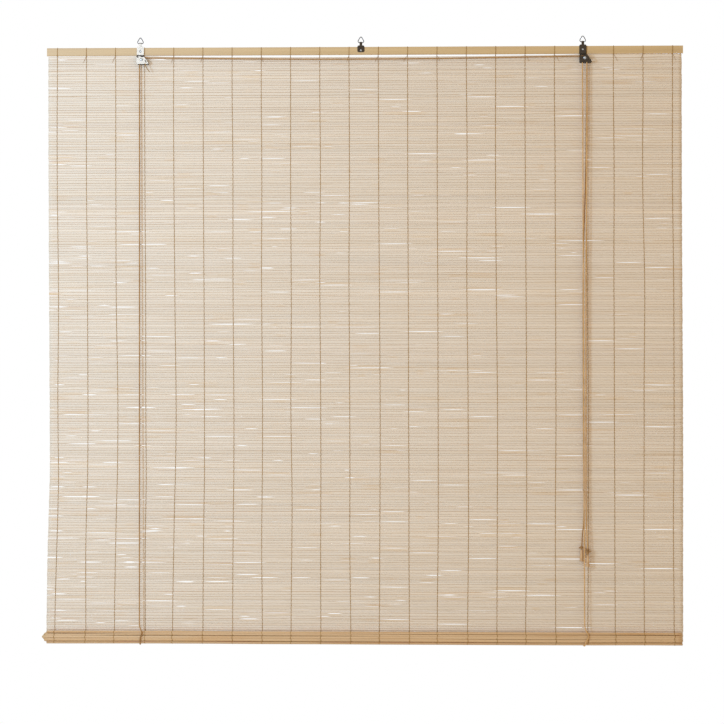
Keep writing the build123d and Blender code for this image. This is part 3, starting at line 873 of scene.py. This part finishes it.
def colored_piece(name, shapes, tones, material, node):
    """One piece of many sticks, with each vertex's colour: the stick's own colour and painted shade at its
    edges.
    """
    verts, faces = join(shapes)
    obj = piece(name, verts, faces, "blind", material, [node])
    attribute = obj.data.attributes.new("tone_and_edge_shade", "FLOAT_COLOR", "POINT")
    colors = np.ones((len(verts), 4))
    colors[:, :3] = np.concatenate(tones)
    attribute.data.foreach_set("color", colors.ravel())


mat_seed = 23
mat_thickness_range = (0.82, 1.0)
mat_depth_step = 0.3
mat_depth_change = 0.00008
stick_lean = 0.05
stick_end_reach = 0.0005


def make_mat(material):
    """The hanging sticks in three bands, each stick between two boundary lines."""
    places, lines, gaps, openings = stick_edges()
    rng = random.Random(mat_seed)
    band_names = ("mat_sticks_upper", "mat_sticks_middle", "mat_sticks_lower")
    band_size = stick_count // len(band_names)
    for band, name in enumerate(band_names):
        shapes = []
        tones = []
        for i in range(band * band_size, (band + 1) * band_size):
            top = lines[i] - gaps[i] / 2
            foot = lines[i + 1] + gaps[i + 1] / 2
            middle = (top + foot) / 2
            height = top - foot
            thickness = stick_thickness * rng.uniform(*mat_thickness_range)
            depth = mat_mid_y + wander(rng, places, mat_depth_step, mat_depth_change)
            lean = rng.gauss(0, stick_lean)
            xs = places + np.array([sway(x, float(middle[0])) for x in places])
            for end in (0, -1):
                xs[end] += rng.uniform(-stick_end_reach, stick_end_reach)
            verts = []
            for x, z, h, y in zip(xs, middle, height, depth):
                for along, through in section_shares:
                    verts.append((x, y + through * thickness + lean * along * h, z + along * h))
            shapes.append((verts, stick_skin(len(xs))))
            tones.append(stick_tones_and_edge_shade(rng, places, openings[i] + openings[i + 1]))
        colored_piece(name, shapes, tones, material, "bamboo_mat")


def roll_runs():
    """The half turns and flat runs of the wound foot, each with its length."""
    y = mat_mid_y
    for k in range(roll_half_turns):
        at_foot = k % 2 == 0
        radius = outer_turn_radius - k * layer_pitch / 2
        inward = -radius if at_foot else radius
        arc_z = turn_z if at_foot else turn_z + roll_rise
        yield "arc", math.pi * radius, y + inward, arc_z, radius, 0 if at_foot else math.pi
        y += 2 * inward
        yield "line", roll_rise, y, arc_z, 1 if at_foot else -1, 0


roll_path = list(roll_runs())
roll_length = sum(run[1] for run in roll_path)
roll_stick_count = int(roll_length / stick_pitch)


def roll_point(along):
    """The place on the wound foot at a length along it, and the direction that faces outward."""
    for run in roll_path:
        kind, length, y, z, size, start = run
        if along <= length or run is roll_path[-1]:
            break
        along -= length
    if kind == "arc":
        angle = start - along / size
        outward = (math.cos(angle), math.sin(angle))
        return y + size * outward[0], z + size * outward[1], outward
    return y, z + size * along, (-size, 0.0)


roll_seed = 37
roll_station_count = 96
roll_uneven_share = 0.28
roll_gap_most = 0.0002
roll_tip = 0.0125
roll_tip_reach = 0.0006
roll_right_range = (-0.0012, 0.0028)
roll_bow_step = 0.12
roll_bow = 0.00012
roll_slant_step = 0.35
roll_slant = 0.0007
roll_thickness_range = (0.8, 1.0)
roll_line_count = 6
roll_line_length = (0.1, 0.4)
# The painted shade in the joins is deeper on the roll
roll_edge_shade_scale = 2.4


def make_roll(material):
    """The wound sticks, flat lenses of uneven width, drawn out to a point at the left end."""
    rng = random.Random(roll_seed)
    stations = np.linspace(0, 1, roll_station_count)
    middle_z = (roll_low.z + roll_high.z) / 2
    half_height = (roll_high.z - roll_low.z) / 2
    edges = [0.0]
    for i in range(1, roll_stick_count):
        edges.append((i + rng.uniform(-roll_uneven_share, roll_uneven_share)) / roll_stick_count)
    edges.append(1.0)
    shapes = []
    tones = []
    for first, second in zip(edges, edges[1:]):
        y0, z0, _ = roll_point(first * roll_length)
        y1, z1, _ = roll_point(second * roll_length)
        y, z, outward = roll_point((first + second) / 2 * roll_length)
        along = Vector((y1 - y0, z1 - z0))
        width = along.length - rng.uniform(0.0, roll_gap_most)
        along.normalize()
        tip = roll_tip * (1 - abs(z - middle_z) / half_height) + rng.uniform(-roll_tip_reach, roll_tip_reach)
        left = roll_low.x - max(0, tip)
        right = roll_high.x + rng.uniform(*roll_right_range)
        xs = left + (right - left) * stations
        bow = wander(rng, xs, roll_bow_step, roll_bow)
        slant = wander(rng, xs, roll_slant_step, roll_slant)
        thickness = stick_thickness * rng.uniform(*roll_thickness_range)
        verts = []
        for x, b, s in zip(xs, bow, slant):
            for a, t in roll_section_shares:
                offset_y = (a * width + s) * along[0] + (t * thickness + b) * outward[0]
                offset_z = (a * width + s) * along[1] + (t * thickness + b) * outward[1]
                verts.append((x, y + offset_y, z + offset_z))
        shapes.append((verts, stick_skin(len(xs))))
        lines = [(rng.uniform(left, right), rng.uniform(*roll_line_length)) for _ in range(roll_line_count)]
        tones.append(stick_tones_and_edge_shade(rng, xs, lines, roll_edge_shade_scale))
    colored_piece("roll_sticks", shapes, tones, material, "mat_roll")


# Warp threads

strand_radius = 0.00068
strand_sides = 6
strand_lift = 0.8
strand_hold = (0.26, 0.74)
strand_gather = 0.4
roll_strand_lift = 1.1
roll_strand_hold = (0.2, 0.8)


def strand_line(x_at, phase):
    """One of a pair of twined strands, in front of every other stick and behind the next."""
    reach = stick_thickness / 2 + strand_radius * strand_lift
    roll_reach = stick_thickness / 2 + strand_radius * roll_strand_lift
    sideways = strand_radius * (1 if phase else -1)
    points = []
    for i in range(stick_count):
        front = -1 if (i + phase) % 2 == 0 else 1
        top = mat_high.z - i * stick_pitch
        points.append((x_at(top) + sideways, mat_mid_y, top))
        for share in strand_hold:
            z = top - share * stick_pitch
            points.append((x_at(z) + sideways * strand_gather, mat_mid_y + front * reach, z))
    x = x_at(turn_z) + sideways
    for i in range(roll_stick_count):
        front = 1 if (stick_count + i + phase) % 2 == 0 else -1
        for share, depth in ((0.0, 0.0), *[(share, front * roll_reach) for share in roll_strand_hold]):
            y, z, outward = roll_point((i + share) / roll_stick_count * roll_length)
            points.append((x, y + depth * outward[0], z + depth * outward[1]))
    return points


bend_count = 5
bend_reach = 0.0012
bend_start_share = 0.125


def thread_path(x, bends):
    """A function of the height that gives a thread's x, with its slow bends and the mat's sway."""
    def x_at(z):
        share = (mat_high.z - z) / (mat_high.z - mat_low.z)
        at = bend_count * min(1.0, max(0.0, share))
        first = min(int(at), bend_count - 1)
        ease = (1 - math.cos(math.pi * (at - first))) / 2
        offset = bends[first] * (1 - ease) + bends[first + 1] * ease
        return x + sway(x, z) + offset * min(1, share / bend_start_share)
    return x_at


loop_corner = 0.0012
loop_tuck = 0.0004
loop_drop = 0.0008
loop_shift = 0.0003


def rail_loop(x):
    """The thread's loop round the head rail, from the mat's front edge to its back edge."""
    front = rail_low.y - strand_radius
    back = rail_high.y + strand_radius
    top = rail_high.z + strand_radius
    return [
        (x, mat_mid_y, mat_high.z),
        (x, front + loop_tuck, rail_low.z - loop_drop),
        (x, front, rail_low.z + loop_corner),
        (x + loop_shift, front, rail_high.z - loop_corner),
        (x + loop_shift, front + loop_corner, top),
        (x, back - loop_corner, top),
        (x, back, rail_high.z - loop_corner),
        (x, back, rail_low.z + loop_corner),
        (x, back - loop_tuck, rail_low.z - loop_drop),
        (x, mat_mid_y + loop_tuck, mat_high.z),
    ]


tail_radius = 0.00035
tail_sides = 6
tail_steps = 6
tail_start = 0.002
tail_fall = 0.010
tail_sag = 0.008
tail_gap = 0.0006
tail_lean = 0.0012


def thread_tail(x, reach):
    """A loose tail that hangs from the knot under the rail."""
    points = []
    for k in range(tail_steps + 1):
        share = k / tail_steps
        fall = tail_fall * share + tail_sag * share * share
        y = mat_low.y - tail_gap - tail_lean * share
        points.append((x + reach * share, y, rail_low.z - tail_start - fall))
    return tube(points, tail_radius, tail_sides)


thread_seed = 5
loop_sides = 8
thread_knot_offset = 0.0006
thread_knot_axis = (0.3, 0, 1)
thread_knot_sides = 10
thread_knot_profile = [
    (0.0003, -0.0016), (0.0011, -0.0010), (0.0014, 0.0), (0.0011, 0.0010), (0.0003, 0.0016),
]
tail_chance = 0.6
tail_reach = (0.004, 0.012)
tails_to_left = (1, 2, 4, 5)
loose_end_radius = 0.0010
loose_end = [
    (-0.6112, -0.0150, -0.0720),
    (-0.6098, -0.0152, -0.0790),
    (-0.6052, -0.0140, -0.0880),
    (-0.5990, -0.0120, -0.0968),
]


def make_threads(material):
    """Twined strands through the mat, and loops, knots and tails at the rail."""
    rng = random.Random(thread_seed)
    strands = {"left": [], "middle": [], "right": []}
    groups = list(strands)
    loops = []
    for i in range(thread_count):
        x = thread_x(i)
        x_at = thread_path(x, [rng.gauss(0, bend_reach) for _ in range(bend_count + 1)])
        group = groups[i * len(groups) // thread_count]
        for phase in (0, 1):
            strands[group].append(tube(strand_line(x_at, phase), strand_radius, strand_sides))
        loops.append(tube(rail_loop(x), strand_radius, loop_sides))
        knot = Vector((x, rail_low.y - thread_knot_offset, rail_low.z - thread_knot_offset))
        loops.append(turned(thread_knot_profile, knot, thread_knot_axis, thread_knot_sides))
        side = rng.choice((-1, 1))
        if rng.random() < tail_chance or i in tails_to_left:
            side = -1 if i in tails_to_left else side
            loops.append(thread_tail(x, side * rng.uniform(*tail_reach)))
    for group, shapes in strands.items():
        verts, faces = join(shapes)
        piece(f"{group}_twined_threads", verts, faces, "blind", material, ["warp_threads"])
    loops.append(tube(loose_end, loose_end_radius, loop_sides))
    verts, faces = join(loops)
    piece("thread_loops", verts, faces, "blind", material)


# Hardware

ring_corner_radius = 0.004
ring_apex_radius = 0.003
ring_arc_steps = 12
ring_sides = 14


def make_ring(name, material):
    """A wire triangle with round corners, closed at its lower bar."""
    node = f"{name}_hanging_ring"
    low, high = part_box(node)
    wire = high.y - low.y
    center = (low + high) / 2
    corner_z = low.z + wire / 2 + ring_corner_radius
    corner_x = (high.x - low.x) / 2 - wire / 2 - ring_corner_radius
    apex_z = high.z - wire / 2 - ring_apex_radius
    arcs = (
        (center.x + corner_x, corner_z, ring_corner_radius, -90, 30),
        (center.x, apex_z, ring_apex_radius, 30, 150),
        (center.x - corner_x, corner_z, ring_corner_radius, 150, 270),
    )
    points = []
    for x, z, radius, start, end in arcs:
        for k in range(ring_arc_steps + 1):
            angle = math.radians(start + (end - start) * k / ring_arc_steps)
            points.append((x + radius * math.cos(angle), center.y, z + radius * math.sin(angle)))
    verts, faces = tube(points, wire / 2, ring_sides, closed=True)
    piece(f"{name}_wire_ring", verts, faces, f"{name}_ring", material, [node])


dome_steps = 6
crown_radius = 0.00002
pin_end_radius = 0.0001
pin_sides = 32


def dome(radius, height):
    """The profile of a domed head from its rim to its crown."""
    sphere = (radius * radius + height * height) / (2 * height)
    span = math.asin(radius / sphere)
    for k in range(dome_steps + 1):
        angle = span * (1 - k / dome_steps)
        yield max(crown_radius, sphere * math.sin(angle)), sphere * math.cos(angle) - sphere + height


def headed_pin(end, shank, length, head, head_height, center, back_y):
    """A pin that runs forward from its end profile to a domed head."""
    seat = length - head_height
    profile = [(pin_end_radius, 0.0), *end, (shank, seat), (head, seat)]
    profile += [(radius, seat + height) for radius, height in dome(head, head_height)]
    return turned(profile, (center.x, back_y, center.z), (0, -1, 0), pin_sides)


rivet_head_height = 0.0018
rivet_shank = 0.0020
rivet_tail = 0.0030
rivet_tail_height = 0.0008
rivet_tail_bevel = 0.0006
rivet_tail_edge = 0.0004


def make_rivet(name, node, material):
    """An axle rivet: a shank with a domed head in front and a set tail behind."""
    low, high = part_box(node)
    end = [(rivet_tail - rivet_tail_bevel, 0.0), (rivet_tail, rivet_tail_edge)]
    end += [(rivet_tail, rivet_tail_height), (rivet_shank, rivet_tail_height)]
    head = (high.x - low.x) / 2
    center = (low + high) / 2
    verts, faces = headed_pin(end, rivet_shank, high.y - low.y, head, rivet_head_height, center, high.y)
    piece(name, verts, faces, "blind", material, [node])


screw_head_height = 0.0020
screw_shank = 0.0015
screw_point = 0.001
recess_half_length = 0.0017
recess_half_width = 0.00032
recess_turn = 0.5
recess_rise = 0.0005
recess_depth = 0.0009


def recess_bar(x, z, front_y, turn):
    """A box through the front of a screw's head, turned about the screw's axis."""
    corners = []
    for along, up in ((-1, -1), (1, -1), (1, 1), (-1, 1)):
        dx = along * recess_half_length
        dz = up * recess_half_width
        corner_x = x + dx * math.cos(turn) - dz * math.sin(turn)
        corner_z = z + dx * math.sin(turn) + dz * math.cos(turn)
        corners.append((corner_x, corner_z))
    verts = []
    for y in (front_y - recess_rise, front_y + recess_depth):
        verts += [(corner_x, y, corner_z) for corner_x, corner_z in corners]
    sides = [(k + 4, (k + 1) % 4 + 4, (k + 1) % 4, k) for k in range(4)]
    return verts, [(0, 1, 2, 3), (7, 6, 5, 4), *sides]


def make_screws(material):
    """Round head screws with a cross recess, in one piece as the group of solids is."""
    low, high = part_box("hanger_screws")
    z = (low.z + high.z) / 2
    head = (high.z - low.z) / 2
    end = [(screw_shank, screw_point)]
    screws = []
    bars = []
    for x in hanger_places:
        center = Vector((x, 0, z))
        screws.append(headed_pin(end, screw_shank, high.y - low.y, head, screw_head_height, center, high.y))
        for turn in (recess_turn, recess_turn + math.pi / 2):
            bars.append(recess_bar(x, z, low.y, turn))
    verts, faces = join(screws)
    obj = piece("round_head_screws", verts, faces, "blind", material, ["hanger_screws"])
    bpy.context.view_layer.objects.active = obj
    for k, (verts, faces) in enumerate(bars):
        mesh = bpy.data.meshes.new(f"recess_{k}")
        mesh.from_pydata(verts, [], faces)
        cutter = new_object(f"recess_{k}", mesh)
        cut = obj.modifiers.new("recess", "BOOLEAN")
        cut.object = cutter
        cut.operation = "DIFFERENCE"
        bpy.ops.object.modifier_apply(modifier=cut.name)
        bpy.data.objects.remove(cutter)


def dress(material, names, bevel=0.0):
    """Gives CAD nodes their finish, and soft edges where a width is given."""
    for name in names:
        obj = nodes[name]
        obj.data.materials.clear()
        obj.data.materials.append(material)
        if bevel:
            soft = obj.modifiers.new("edges", "BEVEL")
            soft.width = bevel
            soft.segments = 2
            soft.limit_method = "ANGLE"


floor_drop = 0.5
floor_half_width = 2.4
floor_front = -2.2
floor_back = 1.0


def make_floor(material):
    """A pale floor under the hanging blind, which ends before it shows in the front view."""
    z = cad_box[0].z - floor_drop
    corners = ((-1, floor_front), (1, floor_front), (1, floor_back), (-1, floor_back))
    verts = [(side * floor_half_width, y, z) for side, y in corners]
    mesh = bpy.data.meshes.new("floor")
    mesh.from_pydata(verts, [], [(0, 1, 2, 3)])
    floor = new_object("floor", mesh)
    mesh.materials.append(material)


# Finishes

slat_edge = 0.0006
plate_color = (0.060, 0.046, 0.033)
wire_color = (0.07, 0.064, 0.058)
head_color = (0.40, 0.385, 0.36)

bpy.context.scene.view_settings.view_transform = "Standard"
make_camera()
make_light()
make_floor(floor_material())

cord_finish = cord_material("braided cord", srgb(232, 178, 110), srgb(206, 152, 86))
# The left lift cord is the same braided cord with painted shade: the same material in darker colours
shade_painted_cord_finish = cord_material("braided cord with painted shade", srgb(192, 138, 72), srgb(156, 106, 48))
# The pull knots take darker cord colours than the rest of the cord
knot_finish = cord_material("darker knot cord", srgb(190, 140, 80), srgb(142, 96, 48))
left_cord = make_cord("left_lift_cord_line", left_cord_points, shade_painted_cord_finish)
right_cord = make_cord("right_lift_cord_line", right_cord_points, cord_finish)
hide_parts("left_lift_cord")
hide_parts("right_lift_cord")
wood_finish = wood_material()
left_knot = make_knot("left_pull_wraps", "left_pull_knot", 3, knot_finish, seed=1, frayed_side=-1)
right_knot = make_knot("right_pull_wraps", "right_pull_knot", 4, knot_finish, seed=2, frayed_side=1)
left_stop = make_knot("left_stop_wraps", "left_stop_knot", 2, cord_finish, seed=3)
right_stop = make_knot("right_stop_wraps", "right_stop_knot", 2, cord_finish, seed=4)
left_tassel = make_tassel("left_turned_tassel", "left_tassel", wood_finish)
right_tassel = make_tassel("right_turned_tassel", "right_tassel", wood_finish)

make_mat(stick_material("mat sticks", srgb(224, 200, 170), srgb(212, 168, 115)))
make_roll(stick_material("roll sticks", srgb(211, 169, 119), srgb(189, 141, 86)))
make_threads(thread_material())
dress(slat_material(), ["head_rail", "bottom_rail"], slat_edge)
make_anchor_knots(cord_finish)

plate_finish = metal_material("plated steel", plate_color, low=0.12, high=0.22)
wire_finish = metal_material("steel wire", wire_color, low=0.16, high=0.3)
head_finish = metal_material("bright heads", head_color, low=0.2, high=0.35)
for side in ("left", "middle", "right"):
    make_ring(side, wire_finish)
make_rivet("left_axle_rivet", "left_pulley_axle", head_finish)
make_rivet("lock_axle_rivet", "cord_lock_axle", head_finish)
make_screws(head_finish)
pulley_nodes = [f"{name}_{piece_name}" for name in ("left_pulley", "cord_lock")
                for piece_name in ("bracket", "back_cheek", "wheel", "spacer")]
dress(plate_finish, ["middle_hanger_plate", "cord_lock_roller", *pulley_nodes])
dress(wire_finish, ["cord_staples"])
